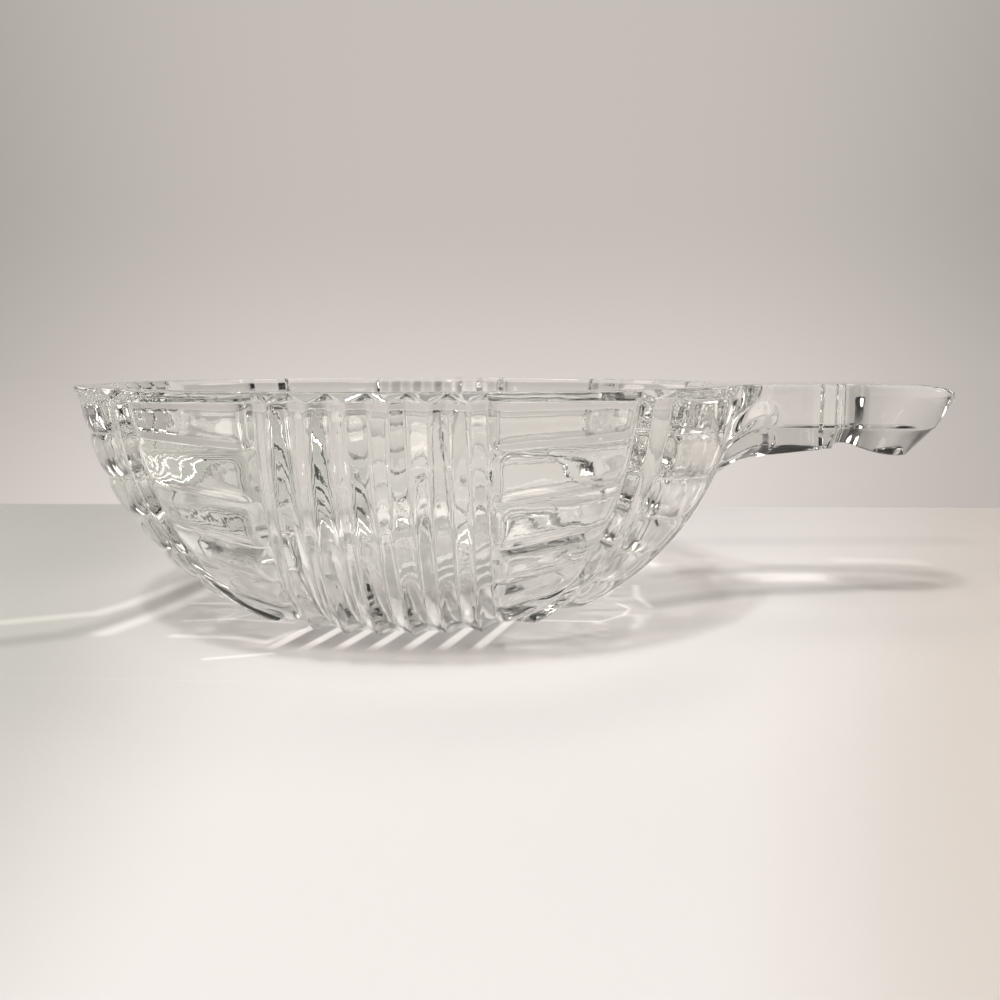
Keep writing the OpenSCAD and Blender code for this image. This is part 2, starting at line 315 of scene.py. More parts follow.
def rounded_corners(path, radius):
    """A path of (lanes, 2) points whose inner corners become short round arcs."""
    rows = []
    for before, corner, after in zip(path[:-2], path[1:-1], path[2:]):
        start = corner + radius * unit(before - corner)
        end = corner + radius * unit(after - corner)
        for t in np.linspace(0, 1, POLISH_STEPS):
            rows.append(lerp(lerp(start, corner, t), lerp(corner, end, t), t))
    return rows


def rim_flat_r():
    """Radius of the rim's flat top, which runs out over the bars and stops short of the ribs."""
    level = everywhere(0)
    out = np.where(ZONE == PANEL, relief(level), flare(level)) / math.cos(WALL_LEAN)
    return RIM_R - BEVEL_W + out


def bevel_place(flat_r):
    """How far down each lane the rim's bevel ends."""
    s = everywhere(0)
    for _ in range(BEVEL_PASSES):
        reach = RIM_R + relief(s) / math.cos(WALL_LEAN) - flat_r
        fall = reach * math.tan(BEVEL_FALL)
        s = (fall + relief(s) * math.sin(WALL_LEAN)) / math.cos(WALL_LEAN)
    return s


def mouth_point(below):
    """Radius and height on the plain inside, at a depth below the rim."""
    mouth_r = RIM_R - WALL_T / math.cos(WALL_LEAN)
    return np.array([mouth_r - below * math.tan(WALL_LEAN), BOWL_H - below])


def underside_rings():
    """Rings of the flat base, from its middle out to the foot."""
    foot = everywhere(WALL_L)
    shares = np.linspace(0, 1, DISC_STEPS + 1)[1:-1]
    return [turned(wall_point(foot) * [k, 1], lane_angle(foot)) for k in shares]


def outer_rings():
    """Rings of the patterned wall, from the foot up to the first row below the rim."""
    foot = [lerp(WALL_L, BAR_COUNT * PITCH, i / FOOT_STEPS) for i in range(FOOT_STEPS)]
    rows = [bar + share for bar in range(BAR_COUNT) for share in BAR_SHARES] + [BAR_COUNT]
    rows = [row for row in rows if row > FIRST_ROW_SHARE] + [FIRST_ROW_SHARE]
    bars = [row * PITCH for row in sorted(rows, reverse=True)]
    return [turned(wall_point(s, relief(s)), lane_angle(s)) for s in foot + bars]


def rim_rings():
    """Rings of the bevel, the flat top and the lip inside, with edges melted round."""
    flat_r = rim_flat_r()
    first_s = FIRST_ROW_SHARE * PITCH
    bevel_s = bevel_place(flat_r)
    each_lane = everywhere(1)[:, None]
    path = [
        wall_point(first_s, relief(first_s)),
        wall_point(bevel_s, relief(bevel_s)),
        np.stack([flat_r, everywhere(BOWL_H)], -1),
        each_lane * (mouth_point(0) + [LIP_W, 0]),
        each_lane * mouth_point(LIP_D),
        each_lane * mouth_point(LIP_END_D),
    ]
    return [turned(row, lane_angle(bevel_s)) for row in rounded_corners(path, POLISH_R)]


def inside_profile():
    """(radius, height) down the inside from under the lip to where the floor is flat."""
    inner_r = BELLY_R - WALL_T
    lean_end = ARC_CENTRE + inner_r * np.array([math.cos(WALL_LEAN), -math.sin(WALL_LEAN)])
    straight = [lerp(mouth_point(LIP_END_D), lean_end, i / LEAN_STEPS) for i in range(LEAN_STEPS)]
    # A fillet ball rests on the floor and rolls inside the wall's arc
    ball_z = FLOOR_T + FLOOR_FILLET
    ball_gap = inner_r - FLOOR_FILLET
    ball = np.array([ARC_CENTRE[0] + math.sqrt(ball_gap**2 - (ARC_CENTRE[1] - ball_z) ** 2), ball_z])
    touch = math.atan2(ARC_CENTRE[1] - ball_z, ball[0] - ARC_CENTRE[0])
    arc = [
        ARC_CENTRE + inner_r * np.array([math.cos(a), -math.sin(a)])
        for a in np.linspace(WALL_LEAN, touch, INNER_STEPS)
    ]
    fillet = [
        ball + FLOOR_FILLET * np.array([math.cos(a), -math.sin(a)])
        for a in np.linspace(touch, math.pi / 2, FILLET_STEPS)[1:]
    ]
    return straight + arc + fillet


def inner_rings():
    """Rings of the inside, pressed smooth by the plunger, down to the middle of the floor."""
    each_lane = everywhere(1)[:, None]
    profile = inside_profile()
    rings = []
    for i, point in enumerate(profile):
        s = everywhere(WALL_L * (i + 1) / len(profile))
        rings.append(turned(each_lane * point, lane_angle(s)))
    floor_turn = lane_angle(everywhere(WALL_L))
    for k in np.linspace(1, 0, DISC_STEPS + 1)[1:-1]:
        rings.append(turned(each_lane * profile[-1] * [k, 1], floor_turn))
    return rings


def bowl_rings():
    """Rings of the bowl's skin, from the middle of the base round the rim to the floor."""
    return underside_rings() + outer_rings() + rim_rings() + inner_rings()


# Half of a section of the handle, from the middle of its underside round to its top
FACE_PLACES = [0, 1 / 3, 2 / 3, 1]
FACE_MIDDLES = [1 / 6, 1 / 2, 5 / 6]
FLUTE_PLACES = np.array(
    [(k + share) / RIB_COUNT for k in range(RIB_COUNT) for share in FACET_SHARES] + [1]
)


def section(half, depth, chine, places):
    """(out, below the rim) at places from 0, under the middle, to 1, at the side."""
    outs = [0, half - chine, half, half]
    depths = [depth, depth, SIDE_D, FLUTE_TOP_D]
    return np.interp(places, FACE_PLACES, outs), np.interp(places, FACE_PLACES, depths)


def side_point(x, out, height):
    """Points of the handle from their places along it, out to its side and upwards."""
    return np.stack(np.broadcast_arrays(x, out, height), -1)


def buried(s, turn):
    """Points just under the bowl's skin, s down the wall and turned from the handle's middle."""
    profile = wall_point(s, 0 * s - BURY)
    profile[..., 1] = np.minimum(profile[..., 1], BOWL_H - TOP_SINK)
    return turned(profile, turn)


# Lanes of half the root run from under its middle round to the middle of its top. Each has its
# place on the bowl, its bend and its end at the neck, the directions at both ends in which its
# ridge stands out, and how much of a ridge it has.
def flute_lanes():
    """Lanes of the flutes, from under the root's middle to the top of its side."""
    places = FLUTE_PLACES
    s = lerp(KEEL_S, FLANK_S, places)
    turn = np.arcsin(places * group_half_w(s) / wall_point(s)[..., 0])
    out, below = section(ROOT_HALF_W, NECK_D - FLUTE_STEP, CHINE_W, places)
    bend = side_point(lerp(KEEL_X, SHOULDER_X, places), out, BOWL_H - below)
    end = side_point(NECK_X, out, BOWL_H - below)
    wall_way = turned(np.stack([np.cos(wall_angle(s)), -np.sin(wall_angle(s))], -1), turn)
    chine_turn = math.atan2(NECK_D - FLUTE_STEP - SIDE_D, CHINE_W)
    tip = np.interp(places, FACE_MIDDLES, [0, chine_turn, math.pi / 2])
    end_way = side_point(0 * tip, np.sin(tip), -np.cos(tip))
    return [s, turn, bend, end, wall_way, end_way, rounded_wave(places * RIB_COUNT)]


def flank_lanes():
    """Lanes of the plain side above the flutes."""
    k = np.linspace(0, 1, FLANK_STEPS + 1)[1:]
    turn = lerp(group_angle(np.array(FLANK_S)), ROOT_ANGLE, k)
    z = lerp(BOWL_H - FLUTE_TOP_D, BOWL_H - TOP_SINK, k)
    bend, end = (side_point(x, ROOT_HALF_W, z) for x in (SHOULDER_X, NECK_X))
    way = side_point(0 * k, 0 * k + 1, 0)
    return [lerp(FLANK_S, 0, k), turn, bend, end, way, way, 0 * k]


def top_lanes():
    """Lanes of half the flat top, from its edge to its middle."""
    k = np.linspace(1, 0, TOP_STEPS + 1)[1:]
    top = BOWL_H - TOP_SINK
    bend, end = (side_point(x, ROOT_HALF_W * k, top) for x in (SHOULDER_X, NECK_X))
    way = side_point(0 * k, 0, 0 * k + 1)
    return [0 * k, ROOT_ANGLE * k, bend, end, way, way, 0 * k]


def root_lanes():
    """Every lane of half the root."""
    return [np.concatenate(parts) for parts in zip(flute_lanes(), flank_lanes(), top_lanes())]


def closed_ring(half):
    """A ring round the handle from half of it, under the middle first and over it last."""
    return np.concatenate([half, half[-2:0:-1] * [1, -1, 1]])


def whole_ring(side):
    """A ring round the handle from one side's points, with a level top across them."""
    top_edge = side[-1]
    across = side_point(top_edge[0], top_edge[1] * np.linspace(1, 0, TOP_STEPS + 1)[1:], top_edge[2])
    return closed_ring(np.concatenate([side, across]))


def grip_side(x, half, depth, tip_share=0):
    """One side of the plain handle at a station. tip_share runs to 1 at the tip."""
    chine = min(CHINE_W, half / 2)
    out, below = section(half, depth, chine, FLUTE_PLACES)
    rake = np.interp(FLUTE_PLACES, FACE_PLACES, [UNDER_RAKE, UNDER_RAKE, SIDE_RAKE, 0])
    drop = PAD_DROP * tip_share**2 + TOP_SINK
    edge = min(EDGE_R, half / 2)
    low = side_point(x - rake * tip_share, out, BOWL_H - below)
    k = np.linspace(0, 1, FLANK_STEPS - EDGE_STEPS + 1)[1:]
    side_z = lerp(BOWL_H - FLUTE_TOP_D, BOWL_H - drop - edge, k)
    up = side_point(x, half, side_z)
    turn = np.linspace(0, math.pi / 2, EDGE_STEPS + 1)[1:]
    ease = edge * (1 - np.cos(turn))
    roll = side_point(x - ease * tip_share, half - ease, BOWL_H - drop - edge * (1 - np.sin(turn)))
    return np.concatenate([low, up, roll])


def root_rings(lanes):
    """Rings of the fluted root, from under the bowl's skin to the start of the neck."""
    s, turn, bend, end, way, end_way, ridge = lanes
    # The start is closed under the bowl's skin, so that nothing lies across the hollow
    rings = [closed_ring(buried(lerp(FLANK_S, s, k), turn * k)) for k in CLOSING_SHARES]
    start = buried(s, turn)
    for t in np.linspace(0, 1, ROOT_STEPS):
        place = (1 - t) ** 2 * start + 2 * t * (1 - t) * bend + t * t * end
        out = unit(lerp(way, end_way, t))
        rings.append(closed_ring(place + (lerp(RIB_D, FLUTE_D, t) * ridge)[:, None] * out))
    return rings


def nose_rings(lanes):
    """Rings along which the flutes end in round noses, longest on their ridges."""
    neck = grip_side(NECK_X, NECK_W / 2, NECK_D)
    end, _, end_way, ridge = (lane[: len(neck)] for lane in lanes[3:])
    proud = (end + (FLUTE_D * ridge)[:, None] * end_way - neck) * [0, 1, 1]
    reach = lerp(GROOVE_REACH_SHARE, 1, np.sqrt(1 - (1 - ridge) ** 2))
    rings = []
    for q in np.linspace(0, 1, NECK_STEPS)[1:]:
        left = np.sqrt(np.clip(1 - (q / reach) ** 2, 0, 1))
        plain = grip_side(NECK_X + SCALLOP_L * q, NECK_W / 2, NECK_D)
        rings.append(whole_ring(plain + left[:, None] * proud))
    return rings


def neck_rings():
    """Rings of the plain neck, up to the waist."""
    rings = []
    for k in np.linspace(0, 1, NECK_STEPS)[1:-1]:
        x = lerp(NECK_X + SCALLOP_L, WAIST_X - WAIST_L / 2, k)
        rings.append(whole_ring(grip_side(x, NECK_W / 2, lerp(NECK_D, NECK_END_D, k))))
    return rings


def waist_rings():
    """Rings of the round waist between the neck and the pad."""
    rings = []
    for k in np.cos(np.linspace(math.pi, 0, WAIST_STEPS)):
        hollow = math.sqrt(max(0, 1 - k * k))
        half = lerp(NECK_W if k < 0 else PAD_W, WAIST_W, hollow) / 2
        depth = lerp(NECK_END_D if k < 0 else PAD_START_D, WAIST_D, hollow)
        rings.append(whole_ring(grip_side(WAIST_X + k * WAIST_L / 2, half, depth)))
    return rings


def pad_rings():
    """Rings of the end pad, rounded like the bow of a boat."""
    round_start = HANDLE_REACH - PAD_END_L
    rings = []
    for k in np.linspace(0, 1, NECK_STEPS)[1:-1]:
        x = lerp(WAIST_X + WAIST_L / 2, round_start, k)
        depth = lerp(PAD_START_D, PAD_D, math.sin(k * math.pi / 2))
        rings.append(whole_ring(grip_side(x, PAD_W / 2, depth)))
    for turn in np.linspace(0, PAD_TURN, PAD_STEPS):
        k = math.sin(turn)
        x = lerp(round_start, HANDLE_REACH, k)
        rings.append(whole_ring(grip_side(x, PAD_W / 2 * math.cos(turn), PAD_D, k)))
    return rings


def handle_rings():
    """Rings of the handle's skin, from under the bowl's skin to the tip of the pad."""
    lanes = root_lanes()
    return root_rings(lanes) + nose_rings(lanes) + neck_rings() + waist_rings() + pad_rings()


def skin(name, rings):
    """A closed mesh object over rings of equal length, with a fan on each end."""
    n, m = len(rings[0]), len(rings)
    points = np.concatenate([*rings, [rings[0].mean(0)], [rings[-1].mean(0)]])
    faces = []
    for i in range(m - 1):
        for j in range(n):
            a, b = i * n + j, i * n + (j + 1) % n
            faces.append((a, b, b + n, a + n))
    for j in range(n):
        faces.append((m * n, (j + 1) % n, j))
        faces.append((m * n + 1, (m - 1) * n + j, (m - 1) * n + (j + 1) % n))
    mesh = bpy.data.meshes.new(name)
    mesh.from_pydata(points.tolist(), [], faces)
    mesh.validate()
    made = bpy.data.objects.new(name, mesh)
    bpy.context.scene.collection.objects.link(made)
    return made


def settled(piece):
    """Makes a piece's modifiers part of its mesh."""
    shape = piece.evaluated_get(bpy.context.evaluated_depsgraph_get())
    mesh = bpy.data.meshes.new_from_object(shape)
    piece.modifiers.clear()
    piece.data = mesh


def dish():
    """The whole dish as one closed piece of glass."""
    piece = skin("dish_glass", bowl_rings())
    handle = skin("handle_form", handle_rings())
    join = piece.modifiers.new("one_pressing", "BOOLEAN")
    join.operation = "UNION"
    join.solver = "MANIFOLD"
    join.object = handle
    polish = piece.modifiers.new("fire_polish", "SMOOTH")
    polish.factor = SOFTEN_SHARE
    polish.iterations = SOFTEN_STEPS
    settled(piece)
    bpy.data.objects.remove(handle)
    piece.data.shade_smooth()
    return piece


def linear(hex_colour):
    """An sRGB hex colour as the linear colour that the shader takes."""
    parts = [int(hex_colour[i : i + 2], 16) / 255 for i in (1, 3, 5)]
    return [p / 12.92 if p <= 0.04045 else ((p + 0.055) / 1.055) ** 2.4 for p in parts] + [1]


def add_node(tree, kind, settings=None, inputs=None, links=None):
    """Adds one node with its settings, its input values and the sockets linked into it."""
    node = tree.nodes.new(kind)
    for name, value in (settings or {}).items():
        setattr(node, name, value)
    for name, value in (inputs or {}).items():
        node.inputs[name].default_value = value
    for name, socket in (links or {}).items():
        tree.links.new(socket, node.inputs[name])
    return node


def new_material(name):
    """An empty material, and the tree that its nodes go into."""
    material = bpy.data.materials.new(name)
    material.use_nodes = True
    material.node_tree.nodes.clear()
    return material, material.node_tree


# A change of tone is written as the value that it starts and ends at, and the tone at each
CHANGE_INPUTS = ("From Min", "From Max", "To Min", "To Max")


def shaded(tree, *changes):
    """Tone made of changes multiplied together, each a socket and the change that it brings."""
    tone = None
    for socket, change in changes:
        step = add_node(
            tree,
            "ShaderNodeMapRange",
            settings={"interpolation_type": "SMOOTHSTEP"},
            inputs=dict(zip(CHANGE_INPUTS, change)),
            links={"Value": socket},
        ).outputs["Result"]
        if tone is None:
            tone = step
        else:
            tone = add_node(
                tree, "ShaderNodeMath", settings={"operation": "MULTIPLY"}, links={0: tone, 1: step}
            ).outputs[0]
    return tone


# Glass: its own tone, the tint of its depth, and its index of refraction
GLASS_TONE = "#FDFEFD"
TINT = "#DDE2DC"
TINT_DENSITY = 6.0
GLASS_IOR = 1.52
# Length, depth and detail of the waves that the chilled mould leaves, the long ones first
WAVES = ((7 * MM, 0.09 * MM, 1.0), (1.4 * MM, 0.01 * MM, 2.0))
# Lamp light that passes where it meets the glass squarely, and where it grazes it
PASS_SQUARE = "#FCFCFC"
PASS_GRAZING = "#BCBCBC"


def pressed_soda_lime_glass():
    """Fire-polished pressed glass: clear, very slightly grey, with faint mould chill waves."""
    material, tree = new_material("pressed_soda_lime_glass")
    place = add_node(tree, "ShaderNodeTexCoord").outputs["Object"]
    wavy = {}
    for length, depth, detail in WAVES:
        noise = add_node(
            tree,
            "ShaderNodeTexNoise",
            inputs={"Scale": 1 / length, "Detail": detail},
            links={"Vector": place},
        )
        bump = add_node(
            tree,
            "ShaderNodeBump",
            inputs={"Distance": depth},
            links={"Height": noise.outputs["Fac"], **wavy},
        )
        wavy = {"Normal": bump.outputs["Normal"]}
    glass = add_node(
        tree,
        "ShaderNodeBsdfPrincipled",
        inputs={
            "Base Color": linear(GLASS_TONE),
            "Roughness": 0.0,
            "IOR": GLASS_IOR,
            "Transmission Weight": 1.0,
        },
        links=wavy,
    )
    tint = add_node(
        tree,
        "ShaderNodeVolumeAbsorption",
        inputs={"Color": linear(TINT), "Density": TINT_DENSITY},
    )
    slant = add_node(tree, "ShaderNodeLayerWeight")
    passing = add_node(
        tree,
        "ShaderNodeMix",
        settings={"data_type": "RGBA"},
        inputs={"A": linear(PASS_SQUARE), "B": linear(PASS_GRAZING)},
        links={"Factor": slant.outputs["Facing"]},
    )
    clear = add_node(
        tree, "ShaderNodeBsdfTransparent", links={"Color": passing.outputs["Result"]}
    )
    # Lamp light on its way to the table passes straight through, and other light is bent
    surface = add_node(
        tree,
        "ShaderNodeMixShader",
        links={
            0: add_node(tree, "ShaderNodeLightPath").outputs["Is Shadow Ray"],
            1: glass.outputs["BSDF"],
            2: clear.outputs["BSDF"],
        },
    )
    add_node(
        tree,
        "ShaderNodeOutputMaterial",
        links={"Surface": surface.outputs["Shader"], "Volume": tint.outputs["Volume"]},
    )
    return material


# Table top, and how it turns to the wall behind the dish
FLOOR_SPAN = 6000 * MM
TABLE_GAP = 0.1 * MM
WALL_LINE_CHANGE = (146 * MM, 151 * MM, 0.0, 1.0)
PAINT_ROUGHNESS = 0.6
PAINT_GLOSS = 0.3

# Painted shade across the table from left to right, by how far aside a place lies from the view point:
# darker and grey at the left, the table's own tone in the middle, darker and warmer at the right
VIEW_POINT = (0.0, -240 * MM, 58 * MM)
TONE_SOFTNESS = 100 * MM
PAINTED_SHADE_LEFT = "#C9C9C3"
FLOOR_MIDDLE = "#F3F0EE"
PAINTED_SHADE_RIGHT = "#E1DBD4"
LEFT_CHANGE = (-0.4, -0.06, 0.0, 1.0)
RIGHT_CHANGE = (0.33, 0.56, 0.0, 1.0)

# Painted shading of the wall's tone along a way of length 1: by the square of how far across it points
# from the wall's middle, and by how far it points upwards
WALL_TONE = "#D8D0CA"
WALL_MIDDLE = -0.03
WALL_ACROSS = (0.0, 0.3, 1.0, 0.65)
WALL_UPWARDS = (-0.16, 0.16, 1.14, 0.82)

# Painted light and shade on the table, under and in front of the dish, where the ribs would gather the
# light: a painted bright streak along each groove, with painted shade between
STREAK_PITCH = 7 * MM
STREAK_SLANT = 0.3
STREAK_START = 37 * MM
STREAK_L = 16 * MM
STREAK_CHANGE = (0.0, 0.9, -0.22, 0.38)
STREAKS_ASIDE = (GROUP_BASE_W / 2, GROUP_BASE_W / 2 + STREAK_PITCH / 2, 1.0, 0.0)
STREAKS_BEGIN = (-3 * STREAK_START, -2 * STREAK_START, 0.0, 1.0)
STREAKS_END = (STREAK_L / 2, STREAK_L, 1.0, 0.0)
# Painted shade on the table under the whole dish, where it throws its shadow
PAINTED_UNDER_SHADE = (BASE_R, RIM_R, -0.32, 0.0)
# Painted light and shade on the table beside the dish, standing for the glass's caustics and shadows:
# places along a streak in mm, its half width and its strength
PAINTED_STREAKS = (
    (((-60, 14), (-63, -20), (-67, -33), (-72, -42), (-90, -52)), 7, -0.22),
    (((-62, 14), (-66, -3), (-69, -15), (-73, -24), (-92, -33)), 4.5, 0.3),
    (((-53, 3), (-57, -16), (-60, -28), (-64, -40)), 4.5, 0.34),
    (((-54, -14), (-44, -14)), 1.2, 0.2),
    (((-50, -30), (-40, -28), (-25, -31)), 1.1, 0.25),
    (((-40, -28), (-34, -20)), 1.0, 0.2),
    (((-48, -42), (-35, -43), (-27, -46), (-22, -37)), 2.2, 0.3),
    (((-36, -58), (-24, -54)), 1.6, 0.25),
    (((-120, -70), (-25, -71)), 0.5, 0.05),
    (((30, -27), (44, -28), (50, -22), (52, -16), (49, -10), (40, -12)), 0.9, 0.35),
    (((47, -5), (50, 5), (52, 6)), 0.9, 0.3),
    (((56, 8), (55, -4), (57, -14)), 1.6, 0.25),
    (((21, -47), (32, -44), (44, -37)), 3, -0.16),
    (((64, 20), (96, 30), (126, 29), (138, 24)), 8, -0.16),
    (((58, -12), (80, 0), (104, 4), (132, 12)), 7, -0.22),
    (((60, 8), (88, 6), (108, 3), (130, 12)), 24, -0.1),
    (((114, 16), (126, 17)), 8, -0.1),
    (((60, 72), (84, 72), (166, 76)), 14, -0.07),
    (((90, 18), (106, 19)), 9, 0.3),
    (((122, 42), (140, 40)), 8, 0.12),
)


def wall_shade(tree, way):
    """Strength of the wall's tone along a way: dimmer to the sides and upwards."""
    ways = add_node(tree, "ShaderNodeSeparateXYZ", links={"Vector": way}).outputs
    aside = add_node(
        tree,
        "ShaderNodeMath",
        settings={"operation": "SUBTRACT"},
        inputs={1: WALL_MIDDLE},
        links={0: ways["X"]},
    ).outputs[0]
    across = add_node(
        tree, "ShaderNodeMath", settings={"operation": "MULTIPLY"}, links={0: aside, 1: aside}
    ).outputs[0]
    return shaded(tree, (across, WALL_ACROSS), (ways["Z"], WALL_UPWARDS))


def streak_part(tree, place, start, end, half_width, strength):
    """Strength near the line between two places on the table, fading out to its sides."""
    along = Vector(end) - Vector(start)
    from_start = add_node(
        tree,
        "ShaderNodeVectorMath",
        settings={"operation": "SUBTRACT"},
        inputs={1: start},
        links={0: place},
    )
    share = add_node(
        tree,
        "ShaderNodeVectorMath",
        settings={"operation": "DOT_PRODUCT"},
        inputs={1: along / along.length_squared},
        links={0: from_start.outputs[0]},
    )
    kept = add_node(tree, "ShaderNodeClamp", links={"Value": share.outputs["Value"]})
    nearest = add_node(
        tree,
        "ShaderNodeVectorMath",
        settings={"operation": "SCALE"},
        inputs={0: along},
        links={"Scale": kept.outputs[0]},
    )
    apart = add_node(
        tree,
        "ShaderNodeVectorMath",
        settings={"operation": "DISTANCE"},
        links={0: from_start.outputs[0], 1: nearest.outputs[0]},
    )
    return shaded(tree, (apart.outputs["Value"], (0.0, half_width, strength, 0.0)))


def streak(tree, place, points, half_width, strength):
    """Strength near a line through several places, as strong at its bends as between them."""
    spots = [(x * MM, y * MM, 0) for x, y in points]
    joined = None
    for start, end in zip(spots, spots[1:]):
        part = streak_part(tree, place, start, end, half_width * MM, strength)
        if joined is None:
            joined = part
        else:
            joined = add_node(
                tree,
                "ShaderNodeMath",
                settings={"operation": "MAXIMUM" if strength > 0 else "MINIMUM"},
                links={0: joined, 1: part},
            ).outputs[0]
    return joined


def painted_rib_streaks(tree, ways):
    """Strength of the painted light and shade in slanting streaks under the dish and in front of the
    ribs.
    """
    ahead = add_node(
        tree,
        "ShaderNodeMath",
        settings={"operation": "MULTIPLY_ADD"},
        inputs={1: -1.0, 2: -STREAK_START},
        links={0: ways["Y"]},
    ).outputs[0]
    level = add_node(
        tree,
        "ShaderNodeMath",
        settings={"operation": "MULTIPLY_ADD"},
        inputs={1: STREAK_SLANT},
        links={0: ahead, 2: ways["X"]},
    ).outputs[0]
    turn = add_node(
        tree,
        "ShaderNodeMath",
        settings={"operation": "MULTIPLY"},
        inputs={1: 2 * math.pi / STREAK_PITCH},
        links={0: level},
    ).outputs[0]
    wave = add_node(
        tree, "ShaderNodeMath", settings={"operation": "COSINE"}, links={0: turn}
    ).outputs[0]
    out = add_node(
        tree, "ShaderNodeMath", settings={"operation": "ABSOLUTE"}, links={0: level}
    ).outputs[0]
    return shaded(
        tree,
        (wave, STREAK_CHANGE),
        (out, STREAKS_ASIDE),
        (ahead, STREAKS_BEGIN),
        (ahead, STREAKS_END),
    )


def painted_glass_light(tree, place, ways):
    """How many times its own tone the table shows, with the glass's light and shade painted on it."""
    from_axis = add_node(
        tree, "ShaderNodeVectorMath", settings={"operation": "LENGTH"}, links={0: place}
    )
    parts = [painted_rib_streaks(tree, ways), shaded(tree, (from_axis.outputs["Value"], PAINTED_UNDER_SHADE))]
    parts += [streak(tree, place, *each) for each in PAINTED_STREAKS]
    share = add_node(
        tree,
        "ShaderNodeMath",
        settings={"operation": "ADD"},
        inputs={0: 1.0},
        links={1: parts[0]},
    ).outputs[0]
    for part in parts[1:]:
        share = add_node(
            tree, "ShaderNodeMath", settings={"operation": "ADD"}, links={0: share, 1: part}
        ).outputs[0]
    return share


def table_tone_with_painted_shade(tree, ways):
    """Tone of the table with painted shade: grey at the left, its own pale tone in the middle, warm and
    a little darker at the right.
    """
    beyond = add_node(
        tree,
        "ShaderNodeMath",
        settings={"operation": "SUBTRACT"},
        inputs={1: VIEW_POINT[1]},
        links={0: ways["Y"]},
    ).outputs[0]
    squared = add_node(
        tree,
        "ShaderNodeMath",
        settings={"operation": "MULTIPLY_ADD"},
        inputs={2: TONE_SOFTNESS**2},
        links={0: beyond, 1: beyond},
    ).outputs[0]
    # About the distance from the view point, and never nothing
    distance = add_node(
        tree, "ShaderNodeMath", settings={"operation": "SQRT"}, links={0: squared}
    ).outputs[0]
    aside = add_node(
        tree,
        "ShaderNodeMath",
        settings={"operation": "DIVIDE"},
        links={0: ways["X"], 1: distance},
    ).outputs[0]
    middle = add_node(
        tree,
        "ShaderNodeMix",
        settings={"data_type": "RGBA"},
        inputs={"A": linear(PAINTED_SHADE_LEFT), "B": linear(FLOOR_MIDDLE)},
        links={"Factor": shaded(tree, (aside, LEFT_CHANGE))},
    )
    return add_node(
        tree,
        "ShaderNodeMix",
        settings={"data_type": "RGBA"},
        inputs={"B": linear(PAINTED_SHADE_RIGHT)},
        links={"Factor": shaded(tree, (aside, RIGHT_CHANGE)), "A": middle.outputs["Result"]},
    ).outputs["Result"]


def wall_light(tree, place):
    """Even light of the wall, shaded by the way it is seen along from the view point."""
    away = add_node(
        tree,
        "ShaderNodeVectorMath",
        settings={"operation": "SUBTRACT"},
        inputs={1: VIEW_POINT},
        links={0: place},
    ).outputs[0]
    way = add_node(
        tree, "ShaderNodeVectorMath", settings={"operation": "NORMALIZE"}, links={0: away}
    ).outputs[0]
    return add_node(
        tree,
        "ShaderNodeEmission",
        inputs={"Color": linear(WALL_TONE)},
        links={"Strength": wall_shade(tree, way)},
    ).outputs["Emission"]


def painted_board():
    """Matt painted board: a pale warm table top with painted light and shade, and past its line the
    even tone of the wall, with painted shading.
    """
    material, tree = new_material("painted_board")
    place = add_node(tree, "ShaderNodeTexCoord").outputs["Object"]
    ways = add_node(tree, "ShaderNodeSeparateXYZ", links={"Vector": place}).outputs
    # The base colour holds painted light and shade: the glass's streaks and shadows, and painted shade
    # to the table's sides
    lit = add_node(
        tree,
        "ShaderNodeVectorMath",
        settings={"operation": "SCALE"},
        links={0: table_tone_with_painted_shade(tree, ways), "Scale": painted_glass_light(tree, place, ways)},
    )
    board = add_node(
        tree,
        "ShaderNodeBsdfPrincipled",
        inputs={"Roughness": PAINT_ROUGHNESS, "Specular IOR Level": PAINT_GLOSS},
        links={"Base Color": lit.outputs[0]},
    )
    surface = add_node(
        tree,
        "ShaderNodeMixShader",
        links={
            0: shaded(tree, (ways["Y"], WALL_LINE_CHANGE)),
            1: board.outputs["BSDF"],
            2: wall_light(tree, place),
        },
    )
    add_node(tree, "ShaderNodeOutputMaterial", links={"Surface": surface.outputs["Shader"]})
    return material


def table():
    """A large pale table top under the dish."""
    half = FLOOR_SPAN / 2
    top = BASE_Z - TABLE_GAP
    corners = [(-half, -half, top), (half, -half, top), (half, half, top), (-half, half, top)]
    mesh = bpy.data.meshes.new("table")
    mesh.from_pydata(corners, [], [(0, 1, 2, 3)])
    made = bpy.data.objects.new("table", mesh)
    bpy.context.scene.collection.objects.link(made)
    made.data.materials.append(painted_board())
    # Takes the light that the glass gathers
    made.cycles.is_caustics_receiver = True


# Lamp high in front of the dish and to its left, with its power in watts
LAMP_AT = (-160 * MM, -420 * MM, 1000 * MM)
LAMP_SIZE = 120 * MM
LAMP_POWER = 6.7


def ceiling_lamp():
    """The one lamp, a small round one that shines on the dish."""
    lamp = bpy.data.lights.new("ceiling_lamp", "AREA")
    lamp.shape = "DISK"
    lamp.size = LAMP_SIZE
    lamp.energy = LAMP_POWER
    lamp.cycles.is_caustics_light = True
    made = bpy.data.objects.new("ceiling_lamp", lamp)
    bpy.context.scene.collection.objects.link(made)
    made.location = LAMP_AT
    made.rotation_euler = (-Vector(LAMP_AT)).to_track_quat("-Z", "Y").to_euler()


